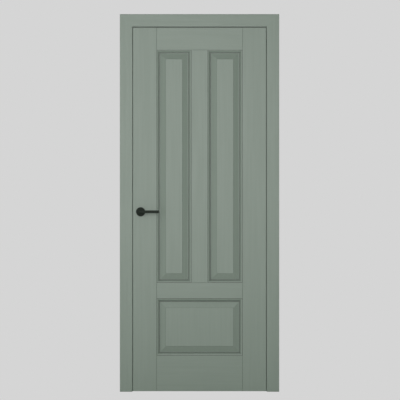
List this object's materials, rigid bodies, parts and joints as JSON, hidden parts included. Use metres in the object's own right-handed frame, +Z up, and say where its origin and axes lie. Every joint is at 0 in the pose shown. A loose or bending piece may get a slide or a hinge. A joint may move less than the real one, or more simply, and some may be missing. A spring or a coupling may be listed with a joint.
{
  "type": "door",
  "caption": "Painted panelled interior door in its frame, with flat casings, raised panels, a lever on each face, a sprung latch and butt hinges on the far side",
  "frame": {"origin": "on the floor under the middle of the leaf, at the leaf's mid-thickness", "axes": "+Z up; -Y is the side that the picture shows; +X is the hinge side"},
  "size_m": [0.89, 0.156, 2.109],
  "materials": {
    "sage_paint": "satin paint over timber and board",
    "black_coat": "matt black powder coat on cast metal",
    "plain_steel": "brushed stainless steel",
    "zinc_steel": "bright zinc plate on steel",
    "spring_steel": "drawn spring wire",
    "grey_rubber": "dark grey extruded rubber"
  },
  "bodies": {
    "frame": {"jamb_left": "sage_paint", "jamb_right": "sage_paint", "jamb_head": "sage_paint", "casing_front_left": "sage_paint", "casing_front_right": "sage_paint", "casing_front_head": "sage_paint", "casing_back_left": "sage_paint", "casing_back_right": "sage_paint", "casing_back_head": "sage_paint", "seal_left": "grey_rubber", "seal_right": "grey_rubber", "seal_head": "grey_rubber", "strike_plate": "plain_steel", "strike_screws": "plain_steel", "hinge_frame_screws": "plain_steel", "hinge_1_frame_plate": "plain_steel", "hinge_2_frame_plate": "plain_steel", "hinge_3_frame_plate": "plain_steel", "hinge_1_pin": "plain_steel", "hinge_2_pin": "plain_steel", "hinge_3_pin": "plain_steel"},
    "leaf": {"stile_hinge": "sage_paint", "stile_lock": "sage_paint", "rail_bottom": "sage_paint", "rail_lock": "sage_paint", "rail_top": "sage_paint", "mullion": "sage_paint", "panel_upper_left": "sage_paint", "panel_upper_right": "sage_paint", "panel_lower": "sage_paint", "bead_front_upper_left": "sage_paint", "bead_front_upper_right": "sage_paint", "bead_front_lower": "sage_paint", "bead_back_upper_left": "sage_paint", "bead_back_upper_right": "sage_paint", "bead_back_lower": "sage_paint", "hinge_1_leaf_plate": "plain_steel", "hinge_2_leaf_plate": "plain_steel", "hinge_3_leaf_plate": "plain_steel", "hinge_leaf_screws": "plain_steel", "lock_case": "zinc_steel", "lock_faceplate": "plain_steel", "faceplate_screws": "plain_steel", "latch_spring": "spring_steel", "rose_studs": "zinc_steel", "rose_base_front": "zinc_steel", "rose_base_back": "zinc_steel", "rose_cover_front": "black_coat", "rose_cover_back": "black_coat", "lever_spring_front": "spring_steel", "lever_spring_back": "spring_steel"},
    "handle": {"lever_front": "black_coat", "lever_back": "black_coat", "spindle": "zinc_steel", "lock_hub": "zinc_steel", "grub_screws": "zinc_steel"},
    "latch": {"latch_bolt": "zinc_steel"}
  },
  "joints": [
    {"name": "leaf_swing", "type": "hinge", "parent": "frame", "child": "leaf", "pos_m": [0.3855, 0.0286, 0], "axis": [0, 0, -1], "range_deg": [0, 95]},
    {"name": "lever_turn", "type": "hinge", "parent": "leaf", "child": "handle", "pos_m": [-0.329, 0, 1.005], "axis": [0, 1, 0], "range_deg": [0, 40], "stiffness_Nm_per_rad": 1.5, "springref_deg": -28.65},
    {"name": "latch_slide", "type": "slide", "parent": "leaf", "child": "latch", "axis": [1, 0, 0], "range_m": [0, 0.0116], "deforming": ["latch_spring"]}
  ],
  "couplings": [
    {"joint": "latch_slide", "follows": "lever_turn", "m_per_rad": 0.016473}
  ]
}
